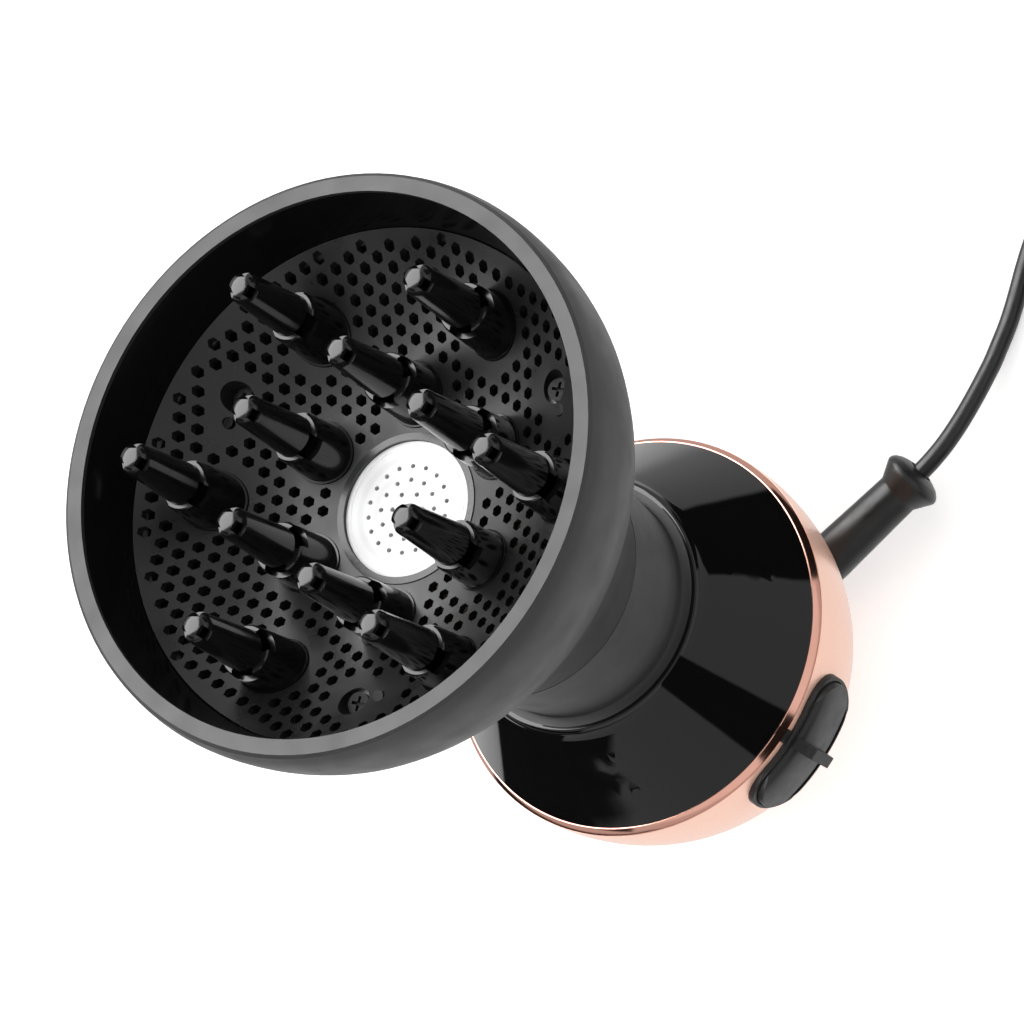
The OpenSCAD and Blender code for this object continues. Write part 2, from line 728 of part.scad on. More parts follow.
diffuser_bowl();
bowl_liner();
finger_plate();
disc_ring();
centre_disc();
plate_screws();
locating_pins();
neck_sleeve();
gloss_cone();
trim_ring();
rear_shell();
rear_grille();
intake_filter();
switch_bezel();
switch_rocker();
switch_block();
circuit_board();
fan_duct();
housing_screws();
motor_mount();
motor_can();
motor_magnets();
motor_end_cap();
bearing_bushes();
carbon_brushes();
fan_wheel();
motor_shaft();
armature_core();
armature_winding();
commutator();
heater_frame();
heating_wire();
heater_sleeve();
thermostat();
thermal_fuse();
strain_relief();
cord_clamp();
clamp_screws();
power_cord();
cord_coil();
plug_body();
plug_pins();
for (i = [0:FINGERS - 1]) finger(finger_at[i]);
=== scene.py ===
import json
import math

import bmesh
import bpy
import numpy as np
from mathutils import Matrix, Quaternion, Vector


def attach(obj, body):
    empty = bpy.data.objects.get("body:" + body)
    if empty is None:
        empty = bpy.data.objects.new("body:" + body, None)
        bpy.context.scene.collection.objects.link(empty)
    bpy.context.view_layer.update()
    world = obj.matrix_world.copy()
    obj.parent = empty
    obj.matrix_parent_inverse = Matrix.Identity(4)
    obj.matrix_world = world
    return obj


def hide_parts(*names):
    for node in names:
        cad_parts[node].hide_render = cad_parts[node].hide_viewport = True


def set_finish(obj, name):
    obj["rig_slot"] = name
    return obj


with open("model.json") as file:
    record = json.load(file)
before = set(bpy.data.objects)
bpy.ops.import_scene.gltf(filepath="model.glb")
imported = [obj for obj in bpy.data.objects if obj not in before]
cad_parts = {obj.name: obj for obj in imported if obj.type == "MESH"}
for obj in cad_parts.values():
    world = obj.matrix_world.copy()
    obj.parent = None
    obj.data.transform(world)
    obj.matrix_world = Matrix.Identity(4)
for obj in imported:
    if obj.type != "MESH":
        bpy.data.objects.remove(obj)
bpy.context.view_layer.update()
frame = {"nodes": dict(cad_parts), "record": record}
NODES = frame["nodes"]
MM = 0.001


def metres(*point):
    """A point given in millimetres, as a vector in metres."""
    return Vector(point) * MM


def smooth(x):
    """0 below 0, 1 above 1, and an even curve between them."""
    x = min(max(x, 0.0), 1.0)
    return x * x * (3 - 2 * x)


# ---- camera ------------------------------------------------------------------

SENSOR = 36               # the film's width, in millimetres like the lens
LENS = 210.94
CAMERA_AT = (73.4, -969.1, 1618.7)
CAMERA_AIM = (13.0, 18.1, 130.1)
CAMERA_ROLL = -60.4       # degrees about the line of sight


def make_camera():
    """Camera above the bowl's mouth, turned about its own axis so that the dryer leans."""
    data = bpy.data.cameras.new("camera")
    data.sensor_width = SENSOR
    data.lens = LENS
    data.clip_start = 0.1
    data.clip_end = 50
    camera = bpy.data.objects.new("camera", data)
    camera.location = metres(*CAMERA_AT)
    level = (metres(*CAMERA_AIM) - camera.location).to_track_quat("-Z", "Y")
    camera.rotation_mode = "QUATERNION"
    camera.rotation_quaternion = level @ Quaternion((0, 0, 1), math.radians(CAMERA_ROLL))
    bpy.context.scene.collection.objects.link(camera)
    bpy.context.scene.camera = camera


# ---- meshes ------------------------------------------------------------------

def new_object(name, data):
    """Object that rides on the dryer's own body."""
    piece = bpy.data.objects.new(name, data)
    bpy.context.scene.collection.objects.link(piece)
    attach(piece, "dryer")
    return piece


def mesh_from(name, build):
    """Mesh that build() fills through bmesh, shaded smooth."""
    data = bpy.data.meshes.new(name)
    work = bmesh.new()
    build(work)
    bmesh.ops.recalc_face_normals(work, faces=work.faces)
    work.to_mesh(data)
    work.free()
    for face in data.polygons:
        face.use_smooth = True
    return data


def loft(work, rings, closed=False):
    """Skin over rings of equally many points; the ends are capped unless it closes on itself."""
    rows = [[work.verts.new(p) for p in ring] for ring in rings]
    pairs = list(zip(rows, rows[1:] + rows[:1])) if closed else list(zip(rows, rows[1:]))
    for a, b in pairs:
        for i in range(len(a)):
            j = (i + 1) % len(a)
            work.faces.new((a[i], a[j], b[j], b[i]))
    if not closed:
        work.faces.new(rows[0])
        work.faces.new(reversed(rows[-1]))


# ---- cord --------------------------------------------------------------------

CORD_D = 6.0              # millimetres, like every length up to the materials
# Where the cord lies between the strain relief and its coil, in millimetres
CORD_ROUTE = [(75, -21.5, 15), (84.6, -24.3, 15), (91.1, -25.8, 14.6), (96.1, -26.4, 14),
              (101.1, -26.5, 13.2), (106.8, -26, 12), (112.5, -25, 10.5), (118.3, -23.7, 8.9),
              (124.2, -22.2, 7.3), (129.8, -20.6, 5.7), (135.5, -18.7, 4.4), (140.2, -17.2, 3.5),
              (145, -15.7, 3.1), (153, -13, 3.05), (159.6, -10.6, 3.05), (168.5, -7.8, 3.05),
              (177, -6, 3.05), (183.5, -5.4, 3.05)]
FLOOR_Z = 3.05            # height of the cord's axis where it lies on the floor
PITCH = 6.05              # distance between neighbouring turns and between layers
LEAD_IN_AT = (188.5, -86.3)  # centre of the arc from the route to the coil
LEAD_IN_R = 81.0
LEAD_IN_FROM = 93.5       # angle at which that arc starts, in degrees
COIL_AT = (200.4, -53.3)
COIL_IN_R = 24.3          # radius of the innermost turn
TURNS_DOWN = 3.6          # turns of the lower layer, wound inwards
PER_TURN = 30             # points for each turn
CLIMB = 0.34              # part of a turn in which the cord climbs to the upper layer
TURNS_UP = 3              # whole turns of the upper layer, wound outwards
LEAVES_AT = -90           # angle at which the upper layer ends, in degrees
PLUG_TIP = (182.4, -101, 8.2)  # end of the plug's boot, which the cord enters


def on_circle(centre, radius, angle, z):
    """Point at an angle in degrees on a level circle."""
    a = math.radians(angle)
    return (centre[0] + radius * math.cos(a), centre[1] + radius * math.sin(a), z)


def cord_points():
    """The whole cord's axis: the free stretch, two layers of turns and the end in the plug."""
    points = list(CORD_ROUTE)
    joins = math.degrees(math.atan2(COIL_AT[1] - LEAD_IN_AT[1], COIL_AT[0] - LEAD_IN_AT[0]))
    for part in (0.25, 0.5, 0.75):
        angle = LEAD_IN_FROM + (joins - LEAD_IN_FROM) * part
        points.append(on_circle(LEAD_IN_AT, LEAD_IN_R, angle, FLOOR_Z))
    outer = COIL_IN_R + PITCH * TURNS_DOWN
    for k in range(round(TURNS_DOWN * PER_TURN)):
        turn = k / PER_TURN
        points.append(on_circle(COIL_AT, outer - PITCH * turn, joins - 360 * turn, FLOOR_Z))
    inner_end = joins - 360 * TURNS_DOWN
    turns_up = TURNS_UP + (inner_end - LEAVES_AT) % 360 / 360
    for k in range(math.ceil(turns_up * PER_TURN) + 1):
        turn = min(k / PER_TURN, turns_up)
        whole = int(turn)
        out = whole + smooth((turn - whole - CLIMB) / (1 - CLIMB))
        points.append(on_circle(COIL_AT, COIL_IN_R + PITCH * out, inner_end - 360 * turn,
                                FLOOR_Z + PITCH * smooth(turn / CLIMB)))
    last, tip = Vector(points[-1]), Vector(PLUG_TIP)
    points += [tuple(last.lerp(tip, part)) for part in (0.4, 0.75)] + [PLUG_TIP]
    return [metres(*p) for p in points]


def make_cord():
    """The mains cord as one curve, laid along its route and round its coil."""
    points = cord_points()
    data = bpy.data.curves.new("cord", "CURVE")
    data.dimensions = "3D"
    data.bevel_depth = 1.0        # so that each knot's radius is the cord's own
    data.bevel_resolution = 6
    data.resolution_u = 4
    data.use_fill_caps = True
    spline = data.splines.new("BEZIER")
    spline.bezier_points.add(len(points) - 1)
    for knot, p in zip(spline.bezier_points, points):
        knot.co = p
        knot.handle_left_type = knot.handle_right_type = "AUTO"
        knot.radius = CORD_D / 2 * MM
    cord = new_object("cord", data)
    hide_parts("power_cord", "cord_coil")
    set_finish(cord, "cord_rubber")
    return cord


def make_tie():
    """Soft strap round the coil's turns, with rounded corners."""
    angle = math.radians(20)
    inner, outer = COIL_IN_R - 3.6, COIL_IN_R + PITCH * TURNS_DOWN + 3.4
    bottom, top = 0.1, 12.9
    width, thick, corner, steps = 9.0, 0.7, 3.2, 6

    def section():
        """Points round the bundle: each corner's centre, as distance from the coil's centre and
        height, and the direction from there to the strap."""
        corners = [(outer, bottom, -90), (outer, top, 0), (inner, top, 90), (inner, bottom, 180)]
        for r, z, first in corners:
            cr = r - corner if r == outer else r + corner
            cz = z - corner if z == top else z + corner
            for k in range(steps + 1):
                a = math.radians(first + 90 * k / steps)
                yield cr, cz, math.cos(a), math.sin(a)

    def build(work):
        rings = []
        for cr, cz, dr, dz in section():
            ring = []
            for side, depth in ((-1, 0), (-1, 1), (1, 1), (1, 0)):
                reach = corner - thick * depth
                r, across = cr + dr * reach, side * width / 2
                x = r * math.cos(angle) - across * math.sin(angle)
                y = r * math.sin(angle) + across * math.cos(angle)
                ring.append(metres(COIL_AT[0] + x, COIL_AT[1] + y, cz + dz * reach))
            rings.append(ring)
        loft(work, rings, closed=True)

    tie = new_object("cord_tie", mesh_from("cord_tie", build))
    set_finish(tie, "cord_rubber")
    return tie


def make_plug_ribs():
    """Grip ribs round the plug's boot."""
    count, first, step, sides = 5, 3.0, 2.9, 28
    thin_r, gain, boot = 3.8, 2.2, 18.2  # the boot's radius at its tip, its growth, its length
    profile = ((-0.8, -0.25), (-0.5, 0.45), (0.5, 0.45), (0.8, -0.25))

    def build(work):
        for n in range(count):
            along = first + step * n
            rings = []
            for dx, rise in profile:
                radius = thin_r + gain * (along + dx) / boot + rise
                rings.append([metres(PLUG_TIP[0] - along - dx,
                                     PLUG_TIP[1] + radius * math.cos(2 * math.pi * k / sides),
                                     PLUG_TIP[2] + radius * math.sin(2 * math.pi * k / sides))
                              for k in range(sides)])
            loft(work, rings)

    ribs = new_object("plug_ribs", mesh_from("plug_ribs", build))
    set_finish(ribs, "cord_rubber")
    return ribs


# ---- materials ---------------------------------------------------------------

WAVE = 2 * math.pi / 20   # length of one wave of Blender's wave texture at scale 1


class Finish:
    """A procedural material whose textures are placed in millimetres on the object."""

    def __init__(self, name, colour, rough, metal=0.0):
        self.material = bpy.data.materials.new(name)
        self.material.use_nodes = True
        self.tree = self.material.node_tree
        self.shader = self.tree.nodes["Principled BSDF"]
        self.set(base_color=(*colour, 1.0), roughness=rough, metallic=metal)
        self.place = self.add("ShaderNodeVectorMath", operation="SCALE")
        self.place.inputs["Scale"].default_value = 1 / MM
        self.join(self.add("ShaderNodeTexCoord").outputs["Object"], self.place.inputs[0])
        self.bumps = None

    def add(self, kind, **settings):
        node = self.tree.nodes.new(kind)
        for key, value in settings.items():
            setattr(node, key, value)
        return node

    def join(self, a, b):
        self.tree.links.new(a, b)

    def set(self, **values):
        """Sets the shader's own sockets; coat_weight means Coat Weight."""
        for key, value in values.items():
            socket = key.replace("_", " ").title().replace("Ior", "IOR")
            self.shader.inputs[socket].default_value = value

    def stretched(self, stretch):
        """Place with each direction scaled, so that a texture runs along the others."""
        node = self.add("ShaderNodeVectorMath", operation="MULTIPLY")
        node.inputs[1].default_value = stretch
        self.join(self.place.outputs[0], node.inputs[0])
        return node.outputs[0]

    def turned(self, stretch):
        """Place as distance from the axis, angle round it and height, each scaled."""
        split = self.add("ShaderNodeSeparateXYZ")
        self.join(self.place.outputs[0], split.inputs[0])
        flat = self.add("ShaderNodeVectorMath", operation="MULTIPLY")
        flat.inputs[1].default_value = (1, 1, 0)
        self.join(self.place.outputs[0], flat.inputs[0])
        length = self.add("ShaderNodeVectorMath", operation="LENGTH")
        self.join(flat.outputs[0], length.inputs[0])
        angle = self.math("ARCTAN2", split.outputs["Y"], split.outputs["X"])
        gather = self.add("ShaderNodeCombineXYZ")
        self.join(length.outputs["Value"], gather.inputs[0])
        self.join(angle, gather.inputs[1])
        self.join(split.outputs["Z"], gather.inputs[2])
        node = self.add("ShaderNodeVectorMath", operation="MULTIPLY")
        node.inputs[1].default_value = stretch
        self.join(gather.outputs[0], node.inputs[0])
        return node.outputs[0]

    def math(self, operation, a, b):
        """Socket with the result of an operation on two values, each a socket or a number."""
        node = self.add("ShaderNodeMath", operation=operation)
        for value, socket in ((a, node.inputs[0]), (b, node.inputs[1])):
            if isinstance(value, (int, float)):
                socket.default_value = value
            else:
                self.join(value, socket)
        return node.outputs[0]

    def noise(self, size, place=None, detail=2.0):
        """Noise whose lumps are about size millimetres."""
        node = self.add("ShaderNodeTexNoise")
        node.inputs["Scale"].default_value = 1 / size
        node.inputs["Detail"].default_value = detail
        self.join(place or self.place.outputs[0], node.inputs["Vector"])
        return node.outputs[0]

    def cells(self, size, place=None, feature="F1"):
        """Distance to the nearest of random points about size millimetres apart."""
        node = self.add("ShaderNodeTexVoronoi", feature=feature)
        node.inputs["Scale"].default_value = 1 / size
        self.join(place or self.place.outputs[0], node.inputs["Vector"])
        return node.outputs["Distance"]

    def bands(self, size, place, direction="X", distortion=0.0):
        """Even bands, size millimetres from one to the next."""
        node = self.add("ShaderNodeTexWave", bands_direction=direction)
        node.inputs["Scale"].default_value = WAVE / size
        node.inputs["Distortion"].default_value = distortion
        self.join(place, node.inputs["Vector"])
        return node.outputs["Fac"]

    def between(self, value, low, high, start=0.3, end=0.7):
        """Value spread from low to high as it goes from start to end."""
        node = self.add("ShaderNodeMapRange")
        limits = {"From Min": start, "From Max": end, "To Min": low, "To Max": high}
        for key, number in limits.items():
            node.inputs[key].default_value = number
        self.join(value, node.inputs["Value"])
        return node.outputs["Result"]

    def rough(self, value, low, high, start=0.3, end=0.7):
        """Roughness that goes from low to high with the value."""
        self.join(self.between(value, low, high, start, end), self.shader.inputs["Roughness"])
        return self

    def tint(self, value, low, high, start=0.3, end=0.7):
        """Colour that goes from low to high with the value."""
        ramp = self.add("ShaderNodeValToRGB")
        for stop, place, colour in zip(ramp.color_ramp.elements, (start, end), (low, high)):
            stop.position = place
            stop.color = (*colour, 1.0)
        self.join(value, ramp.inputs[0])
        self.join(ramp.outputs[0], self.shader.inputs["Base Color"])
        return self

    def bump(self, value, height, strength=1.0):
        """Relief, height millimetres from low to high, on top of any that is there."""
        node = self.add("ShaderNodeBump")
        node.inputs["Distance"].default_value = height * MM
        node.inputs["Strength"].default_value = strength
        self.join(value, node.inputs["Height"])
        if self.bumps:
            self.join(self.bumps, node.inputs["Normal"])
        self.bumps = node.outputs[0]
        self.join(self.bumps, self.shader.inputs["Normal"])
        return self


def grey(value):
    """A neutral grey."""
    return (value, value, value)


def moulded(name, low, high, rough, grain, height, cloud=30.0):
    """Moulded plastic with a fine spark-eroded grain and faint clouds in its shine."""
    f = Finish(name, high, rough)
    f.tint(f.noise(cloud, detail=4), low, high)
    f.rough(f.noise(cloud / 3, detail=5), rough - 0.05, rough + 0.06)
    f.bump(f.noise(grain, detail=1), height)
    return f


def polished(name, colour, rough=0.04, wave=9.0):
    """High-gloss plastic: nearly flat, with a faint wave from the mould and light smears."""
    f = Finish(name, colour, rough)
    f.rough(f.noise(22, detail=6), rough, rough + 0.05, 0.45, 0.8)
    f.bump(f.noise(wave, detail=0), 0.002, 0.3)
    return f


def metal_turned(name, low, high, rough, lines=0.35):
    """Metal with fine lines round the axis from turning or rolling."""
    f = Finish(name, high, rough, metal=1.0)
    brushed = f.noise(lines, f.turned((1, 1.5, 1)), detail=3)
    f.tint(f.noise(6, detail=4), low, high)
    f.rough(brushed, rough - 0.08, rough + 0.1)
    f.bump(brushed, 0.012, 0.5)
    return f


def bowl_matte():
    return moulded("bowl_matte", grey(0.016), grey(0.021), 0.46, 0.32, 0.02)


def liner_gloss():
    return polished("liner_gloss", grey(0.004), 0.12)


def plate_satin():
    return moulded("plate_satin", grey(0.013), grey(0.018), 0.30, 0.5, 0.012)


def finger_gloss():
    return polished("finger_gloss", grey(0.005), 0.16, 5.0)


def disc_ring():
    return moulded("disc_ring", grey(0.03), grey(0.04), 0.25, 0.4, 0.01)


def disc_mirror():
    """Steel disc with a near-white, barely metallic satin face, a painted reflection of the bright
    soft box that the steel mirror shows, and faint rings from polishing on a wheel.
    """
    # The near-white base colour is a painted reflection of the soft box in the disc's steel mirror
    # face.
    f = Finish("disc_mirror", grey(0.9), 0.5, metal=0.15)
    f.tint(f.bands(5.2, f.turned((1, 0, 0))), grey(0.86), grey(0.93), 0.1, 0.5)
    f.rough(f.noise(3, detail=4), 0.45, 0.55)
    f.bump(f.noise(0.5, f.turned((1, 2, 1))), 0.002, 0.4)
    return f


def screw_steel():
    """Steel with a black oxide skin."""
    f = Finish("screw_steel", grey(0.01), 0.3)
    f.tint(f.noise(1.2, detail=4), grey(0.005), grey(0.016))
    f.rough(f.noise(0.5, detail=4), 0.22, 0.42)
    f.set(specular_ior_level=0.12)
    f.bump(f.noise(0.8), 0.03, 0.4)
    return f


def pin_steel():
    return metal_turned("pin_steel", grey(0.006), grey(0.012), 0.3)


def cone_gloss():
    return polished("cone_gloss", grey(0.0025), 0.015, 26.0)


def trim_rose():
    """Polished rose-gold plating on the ring between cone and shell."""
    f = Finish("trim_rose", (0.80, 0.42, 0.33), 0.08, metal=1.0)
    f.tint(f.noise(18, detail=3), (0.76, 0.39, 0.30), (0.84, 0.46, 0.37))
    f.rough(f.noise(0.3, f.turned((1, 2, 1))), 0.06, 0.13)
    f.bump(f.noise(12, detail=1), 0.003, 0.3)
    return f


def shell_rose():
    """Rose-gold lacquer: fine metal flakes under a satin clear coat."""
    f = Finish("shell_rose", (0.93, 0.58, 0.45), 0.34, metal=0.55)
    f.tint(f.cells(0.28), (0.95, 0.61, 0.48), (0.88, 0.53, 0.41), 0.15, 0.75)
    f.rough(f.noise(0.45, detail=3), 0.28, 0.4)
    f.bump(f.noise(0.22, detail=1), 0.006, 0.35)
    f.set(coat_weight=0.25, coat_roughness=0.18)
    return f


def grille_black():
    return moulded("grille_black", grey(0.012), grey(0.02), 0.5, 0.4, 0.03)


def filter_foam():
    """Open-pored foam: pits between thin walls, the pits painted darker as painted shade in the
    pores.
    """
    f = Finish("filter_foam", grey(0.05), 0.95)
    pore_depth_and_shade = f.cells(1.1, feature="SMOOTH_F1")
    # The pits' near-black colour is painted shade in the pores; the walls keep the foam's own
    # grey.
    f.tint(pore_depth_and_shade, grey(0.004), grey(0.06), 0.15, 0.55)
    f.rough(f.noise(2), 0.85, 1.0)
    f.bump(pore_depth_and_shade, 0.5)
    return f


def switch_matte():
    return moulded("switch_matte", grey(0.010), grey(0.014), 0.42, 0.3, 0.02, cloud=12)


def switch_block():
    return moulded("switch_block", grey(0.015), grey(0.025), 0.35, 0.5, 0.01)


def board_green():
    """Green solder resist over glass weave, with the copper's edges showing through."""
    f = Finish("board_green", (0.015, 0.10, 0.035), 0.3)
    weave = f.math("MULTIPLY", f.bands(0.9, f.stretched((1, 0, 0))),
                   f.bands(0.9, f.stretched((0, 0, 1)), direction="Z"))
    tracks = f.cells(3.5, f.stretched((1, 0.2, 1)), feature="DISTANCE_TO_EDGE")
    f.tint(tracks, (0.03, 0.17, 0.06), (0.012, 0.08, 0.03), 0.08, 0.13)
    f.rough(f.noise(2), 0.22, 0.4)
    f.bump(weave, 0.02, 0.5)
    f.bump(tracks, 0.05, 0.4)
    return f


def duct_grey():
    return moulded("duct_grey", grey(0.13), grey(0.17), 0.5, 0.45, 0.02)


def can_steel():
    return metal_turned("can_steel", grey(0.42), grey(0.55), 0.3)


def magnet_dark():
    """Sintered magnet: granular and dull."""
    f = Finish("magnet_dark", grey(0.04), 0.6, metal=0.4)
    f.tint(f.cells(0.4), grey(0.05), grey(0.025), 0.1, 0.7)
    f.rough(f.noise(0.8, detail=4), 0.5, 0.75)
    f.bump(f.noise(0.3, detail=4), 0.03)
    return f


def end_cap_black():
    return moulded("end_cap_black", grey(0.012), grey(0.02), 0.38, 0.4, 0.015)


def bush_bronze():
    """Sintered bronze with oil in its pores."""
    f = Finish("bush_bronze", (0.42, 0.25, 0.1), 0.4, metal=1.0)
    f.tint(f.cells(0.3), (0.28, 0.16, 0.06), (0.5, 0.3, 0.13), 0.05, 0.4)
    f.rough(f.noise(0.5), 0.3, 0.55)
    f.bump(f.noise(0.25), 0.02)
    return f


def carbon_black():
    """Pressed carbon with a slight metallic glint."""
    f = Finish("carbon_black", grey(0.02), 0.5, metal=0.3)
    f.tint(f.noise(0.5, detail=5), grey(0.012), grey(0.035))
    f.rough(f.noise(0.3), 0.4, 0.65)
    f.bump(f.noise(0.2, detail=3), 0.02)
    return f


def fan_plastic():
    return moulded("fan_plastic", grey(0.42), grey(0.5), 0.35, 0.6, 0.012, cloud=14)


def core_steel():
    """Stack of thin steel sheets, each half a millimetre thick."""
    f = Finish("core_steel", grey(0.25), 0.4, metal=1.0)
    sheets = f.bands(0.5, f.stretched((0, 0, 1)), direction="Z")
    f.tint(sheets, grey(0.1), grey(0.3), 0.05, 0.5)
    f.rough(f.noise(1, detail=4), 0.32, 0.5)
    f.bump(sheets, 0.06)
    return f


def winding_copper():
    """Enamelled wire laid side by side, 0.35 mm thick."""
    f = Finish("winding_copper", (0.48, 0.16, 0.05), 0.25, metal=1.0)
    wires = f.bands(0.35, f.stretched((1, 1, 0.4)), direction="DIAGONAL", distortion=0.6)
    f.tint(wires, (0.2, 0.05, 0.015), (0.55, 0.2, 0.07), 0.1, 0.6)
    f.rough(f.noise(0.6), 0.2, 0.35)
    f.bump(wires, 0.12)
    f.set(coat_weight=0.6, coat_roughness=0.12)
    return f


def commutator_copper():
    f = metal_turned("commutator_copper", (0.5, 0.2, 0.09), (0.62, 0.27, 0.13), 0.28, 0.2)
    f.bump(f.bands(0.4, f.stretched((0, 0, 1)), direction="Z"), 0.01, 0.6)
    return f


def mica_board():
    """Pressed mica: pale, layered flakes with a silky shine."""
    f = Finish("mica_board", (0.5, 0.4, 0.25), 0.35)
    flakes = f.cells(2.4, f.stretched((1, 1, 0.7)))
    f.tint(flakes, (0.56, 0.46, 0.31), (0.38, 0.28, 0.16), 0.1, 0.8)
    f.rough(f.noise(1.5, detail=4), 0.25, 0.5)
    f.bump(flakes, 0.05, 0.5)
    return f


def heating_alloy():
    """Resistance wire with a brown heat film."""
    f = Finish("heating_alloy", (0.2, 0.13, 0.09), 0.4, metal=1.0)
    f.tint(f.noise(5, detail=3), (0.12, 0.08, 0.07), (0.34, 0.24, 0.17))
    f.rough(f.noise(0.6, detail=4), 0.3, 0.55)
    f.bump(f.noise(0.2), 0.02)
    return f


def thermostat_ceramic():
    return moulded("thermostat_ceramic", (0.42, 0.4, 0.34), (0.52, 0.5, 0.44), 0.45, 0.3, 0.03,
                   cloud=4)


def fuse_white():
    """Woven glass sleeve."""
    f = Finish("fuse_white", (0.7, 0.68, 0.6), 0.6)
    weave = f.math("MULTIPLY", f.bands(0.5, f.stretched((1, 1, 0.5)), direction="DIAGONAL"),
                   f.bands(0.5, f.stretched((1, -1, -0.5)), direction="DIAGONAL"))
    f.tint(weave, (0.5, 0.48, 0.4), (0.75, 0.73, 0.66), 0.0, 0.6)
    f.rough(f.noise(1), 0.5, 0.75)
    f.bump(weave, 0.08)
    return f


def clamp_plastic():
    return moulded("clamp_plastic", grey(0.06), grey(0.09), 0.45, 0.5, 0.02)


def cord_rubber():
    """Soft black vinyl with a satin skin and faint drag marks."""
    f = Finish("cord_rubber", grey(0.008), 0.36)
    f.tint(f.noise(14, detail=4), grey(0.006), grey(0.010))
    f.rough(f.noise(4, detail=5), 0.28, 0.44)
    f.bump(f.noise(0.5, detail=2), 0.012, 0.6)
    f.bump(f.noise(3.0, detail=1), 0.03, 0.3)
    return f


def pin_nickel():
    f = Finish("pin_nickel", (0.62, 0.58, 0.5), 0.2, metal=1.0)
    f.tint(f.noise(4, detail=4), (0.55, 0.5, 0.42), (0.68, 0.64, 0.56))
    f.rough(f.noise(0.3, f.stretched((0.1, 1, 1)), detail=3), 0.14, 0.32)
    f.bump(f.noise(0.3, f.stretched((0.1, 1, 1))), 0.006, 0.5)
    return f


FINISHES = [bowl_matte, liner_gloss, plate_satin, finger_gloss, disc_ring, disc_mirror,
            screw_steel, pin_steel, cone_gloss, trim_rose, shell_rose, grille_black,
            filter_foam, switch_matte, switch_block, board_green, duct_grey, can_steel,
            magnet_dark, end_cap_black, bush_bronze, carbon_black, fan_plastic, core_steel,
            winding_copper, commutator_copper, mica_board, heating_alloy, thermostat_ceramic,
            fuse_white, clamp_plastic, cord_rubber, pin_nickel]


STEEPEST = 28             # degrees between faces that still count as one rounded surface
SAME_PLACE = 0.002        # corners closer than this are one point, in millimetres
NO_LENGTH = 1e-12         # a sum of normals this short has no direction


def even_normals(data):
    """Shades a CAD mesh evenly across neighbouring faces that meet at less than STEEPEST, the
    larger face counting more. Its vertices stay as they are."""
    normals = np.empty(len(data.loops) * 3, np.float32)
    data.corner_normals.foreach_get("vector", normals)
    normals = normals.reshape(-1, 3)
    corners = np.empty(len(data.loops), np.int32)
    data.loops.foreach_get("vertex_index", corners)
    places = np.empty(len(data.vertices) * 3, np.float32)
    data.vertices.foreach_get("co", places)
    areas, sizes = np.empty(len(data.polygons), np.float32), np.empty(len(data.polygons), np.int32)
    data.polygons.foreach_get("area", areas)
    data.polygons.foreach_get("loop_total", sizes)
    grid = np.round(places.reshape(-1, 3)[corners] / (SAME_PLACE * MM)).astype(np.int64)
    group = np.unique(grid, axis=0, return_inverse=True)[1].reshape(-1)
    order = np.argsort(group, kind="stable")
    group, own = group[order], normals[order]
    weighed = own * np.repeat(areas, sizes)[order][:, None]
    total = weighed.copy()
    for step in range(1, int(np.bincount(group).max())):
        first = np.nonzero(group[step:] == group[:-step])[0]
        likeness = (own[first] * own[first + step]).sum(axis=1)
        first = first[likeness > math.cos(math.radians(STEEPEST))]
        total[first] += weighed[first + step]
        total[first + step] += weighed[first]
    length = np.linalg.norm(total, axis=1, keepdims=True)
    even = np.empty_like(own)
    even[order] = np.where(length > NO_LENGTH, total / np.maximum(length, NO_LENGTH), own)
    data.normals_split_custom_set(even)


def paint(pieces):
    """Every CAD node and every new piece gets its slot's material, and CAD nodes their shading."""
    made = {make.__name__: make().material for make in FINISHES}
    for part in frame["record"]["subparts"]:
        data = NODES[part["node"]].data
        data.materials.clear()
        data.materials.append(made[part["material_slot"]])
        even_normals(data)
    for piece in pieces:
        piece.data.materials.append(made[piece["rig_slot"]])


# ---- stage -------------------------------------------------------------------

def make_floor():
    """Pale floor, far wider than the view, that stays out of reflections."""
    half = 12.0  # metres
    data = bpy.data.meshes.new("floor")
    data.from_pydata([(-half, -half, 0), (half, -half, 0), (half, half, 0), (-half, half, 0)],
                     [], [(0, 1, 2, 3)])
    floor = bpy.data.objects.new("floor", data)
    bpy.context.scene.collection.objects.link(floor)
    f = Finish("floor", grey(0.9), 0.9)
    f.tint(f.noise(300), grey(0.89), grey(0.91))
    f.set(emission_color=(1, 1, 1, 1), emission_strength=0.42)
    data.materials.append(f.material)
    floor.visible_glossy = False


def make_light(name, place, size, power, target=(0, 0, 130)):
    """Large soft lamp, size metres square and power watts strong, pointed at the dryer."""
    data = bpy.data.lights.new(name, "AREA")
    data.shape = "SQUARE"
    data.size = size
    data.energy = power
    lamp = bpy.data.objects.new(name, data)
    lamp.location = metres(*place)
    lamp.rotation_mode = "QUATERNION"
    lamp.rotation_quaternion = (metres(*target) - lamp.location).to_track_quat("-Z", "Y")
    lamp.visible_glossy = False
    bpy.context.scene.collection.objects.link(lamp)


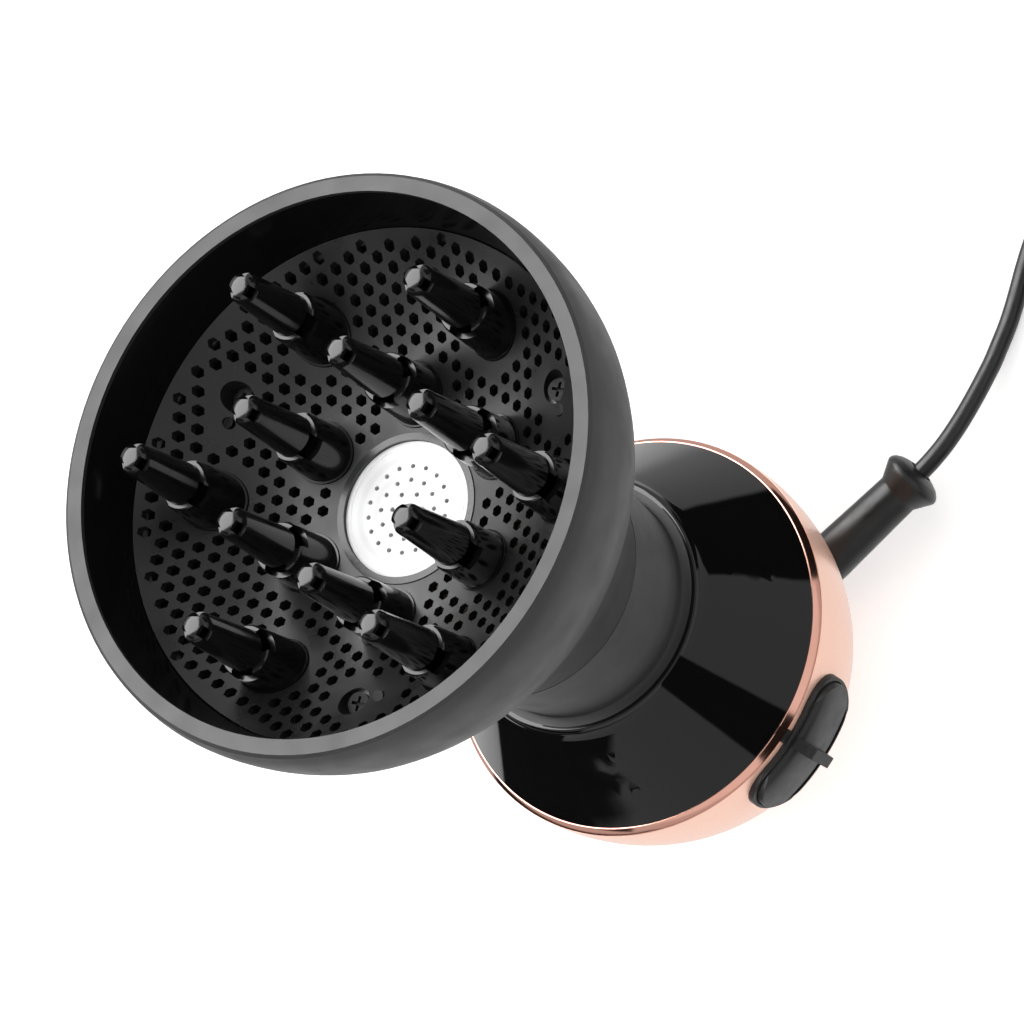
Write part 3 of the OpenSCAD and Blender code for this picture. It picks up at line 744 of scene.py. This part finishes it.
class Sky:
    """The studio round the dryer: even white for soft light, and bright and dark walls that
    only polished surfaces show."""

    def __init__(self, brightness):
        world = bpy.data.worlds.new("studio")
        world.use_nodes = True
        bpy.context.scene.world = world
        self.tree = world.node_tree
        self.tree.nodes.clear()
        split = self.add("ShaderNodeSeparateXYZ")
        self.tree.links.new(self.add("ShaderNodeTexCoord").outputs["Generated"], split.inputs[0])
        turn = self.calc("ARCTAN2", split.outputs["Y"], split.outputs["X"])
        self.azimuth = self.calc("MULTIPLY", turn, 180 / math.pi)
        rise = self.calc("ARCSINE", split.outputs["Z"], 0)
        self.elevation = self.calc("MULTIPLY", rise, 180 / math.pi)
        self.value = brightness

    def add(self, kind, **settings):
        node = self.tree.nodes.new(kind)
        for key, value in settings.items():
            setattr(node, key, value)
        return node

    def calc(self, operation, a, b):
        """Socket with the result of an operation on two values, each a socket or a number."""
        node = self.add("ShaderNodeMath", operation=operation)
        for value, socket in ((a, node.inputs[0]), (b, node.inputs[1])):
            if isinstance(value, (int, float)):
                socket.default_value = value
            else:
                self.tree.links.new(value, socket)
        return node.outputs[0]

    def step(self, value, edge, blur):
        """0 below the edge and 1 above it, over blur degrees."""
        node = self.add("ShaderNodeMapRange", interpolation_type="SMOOTHSTEP")
        node.inputs["From Min"].default_value = edge - blur / 2
        node.inputs["From Max"].default_value = edge + blur / 2
        self.tree.links.new(value, node.inputs["Value"])
        return node.outputs["Result"]

    def panel(self, azimuth, elevation, brightness, blur=2.0, lean=0.0):
        """Panel between two azimuths and two elevations, in degrees, that covers what was there.
        The azimuths may lie on both sides of 180. Lean is how far the panel turns for each
        degree of height."""
        middle, half = sum(azimuth) / 2, (azimuth[1] - azimuth[0]) / 2
        tilt = self.calc("MULTIPLY", self.elevation, lean)
        off = self.calc("SUBTRACT", self.calc("SUBTRACT", self.azimuth, tilt), middle)
        turned = self.calc("WRAP", off, 180)
        turned.node.inputs[2].default_value = -180
        inside = self.calc("SUBTRACT", 1, self.step(self.calc("ABSOLUTE", turned, 0), half, blur))
        above = self.step(self.elevation, elevation[0], blur)
        below = self.calc("SUBTRACT", 1, self.step(self.elevation, elevation[1], blur))
        mask = self.calc("MULTIPLY", inside, self.calc("MULTIPLY", above, below))
        change = self.calc("SUBTRACT", brightness, self.value)
        self.value = self.calc("ADD", self.value, self.calc("MULTIPLY", mask, change))

    def finish(self, soft):
        """Joins the reflected walls and the even light, soft bright."""
        white = (1, 1, 1, 1)
        seen = self.add("ShaderNodeBackground")
        seen.inputs["Color"].default_value = white
        self.tree.links.new(self.value, seen.inputs["Strength"])
        even = self.add("ShaderNodeBackground")
        even.inputs["Color"].default_value = white
        even.inputs["Strength"].default_value = soft
        mix = self.add("ShaderNodeMixShader")
        ray = self.add("ShaderNodeLightPath")
        self.tree.links.new(ray.outputs["Is Glossy Ray"], mix.inputs[0])
        self.tree.links.new(even.outputs[0], mix.inputs[1])
        self.tree.links.new(seen.outputs[0], mix.inputs[2])
        self.tree.links.new(mix.outputs[0], self.add("ShaderNodeOutputWorld").inputs[0])


ALL_ROUND = (-181, 181)
NADIR = -91               # just past straight down
DARK = 0.01               # brightness of a black board


def make_studio():
    """Floor, lamp and the walls that the glossy parts mirror."""
    make_floor()
    sky = Sky(0.5)
    # Pale and grey walls, from the top down
    sky.panel(ALL_ROUND, (14, 42), 0.9)
    sky.panel(ALL_ROUND, (NADIR, 14), 0.6)
    sky.panel(ALL_ROUND, (NADIR, -30), 0.95, blur=6)
    # Black boards, which part the cone and the trim ring into sectors
    sky.panel((-107, -83), (-28, 40), DARK)
    sky.panel((-27, 4), (-30, 1), DARK, lean=-1)
    sky.panel((-23, 18), (0, 30), DARK)
    sky.panel((-181, -146), (-14, 6), DARK, lean=2.9)
    sky.panel((134, 177), (-34, -13), DARK)
    sky.panel((150, 190), (6, 34), DARK)
    # Soft box, for the highlights on the plate, the fingers and the disc
    sky.panel((40, 150), (24, 85), 7.0, blur=12)
    sky.finish(1.0)
    bpy.context.scene.view_settings.view_transform = "Standard"
    make_light("key", (-900, 500, 1900), 1.2, 18)


# ---- build -------------------------------------------------------------------

make_camera()
cord = make_cord()
tie = make_tie()
ribs = make_plug_ribs()
paint([cord, tie, ribs])
make_studio()
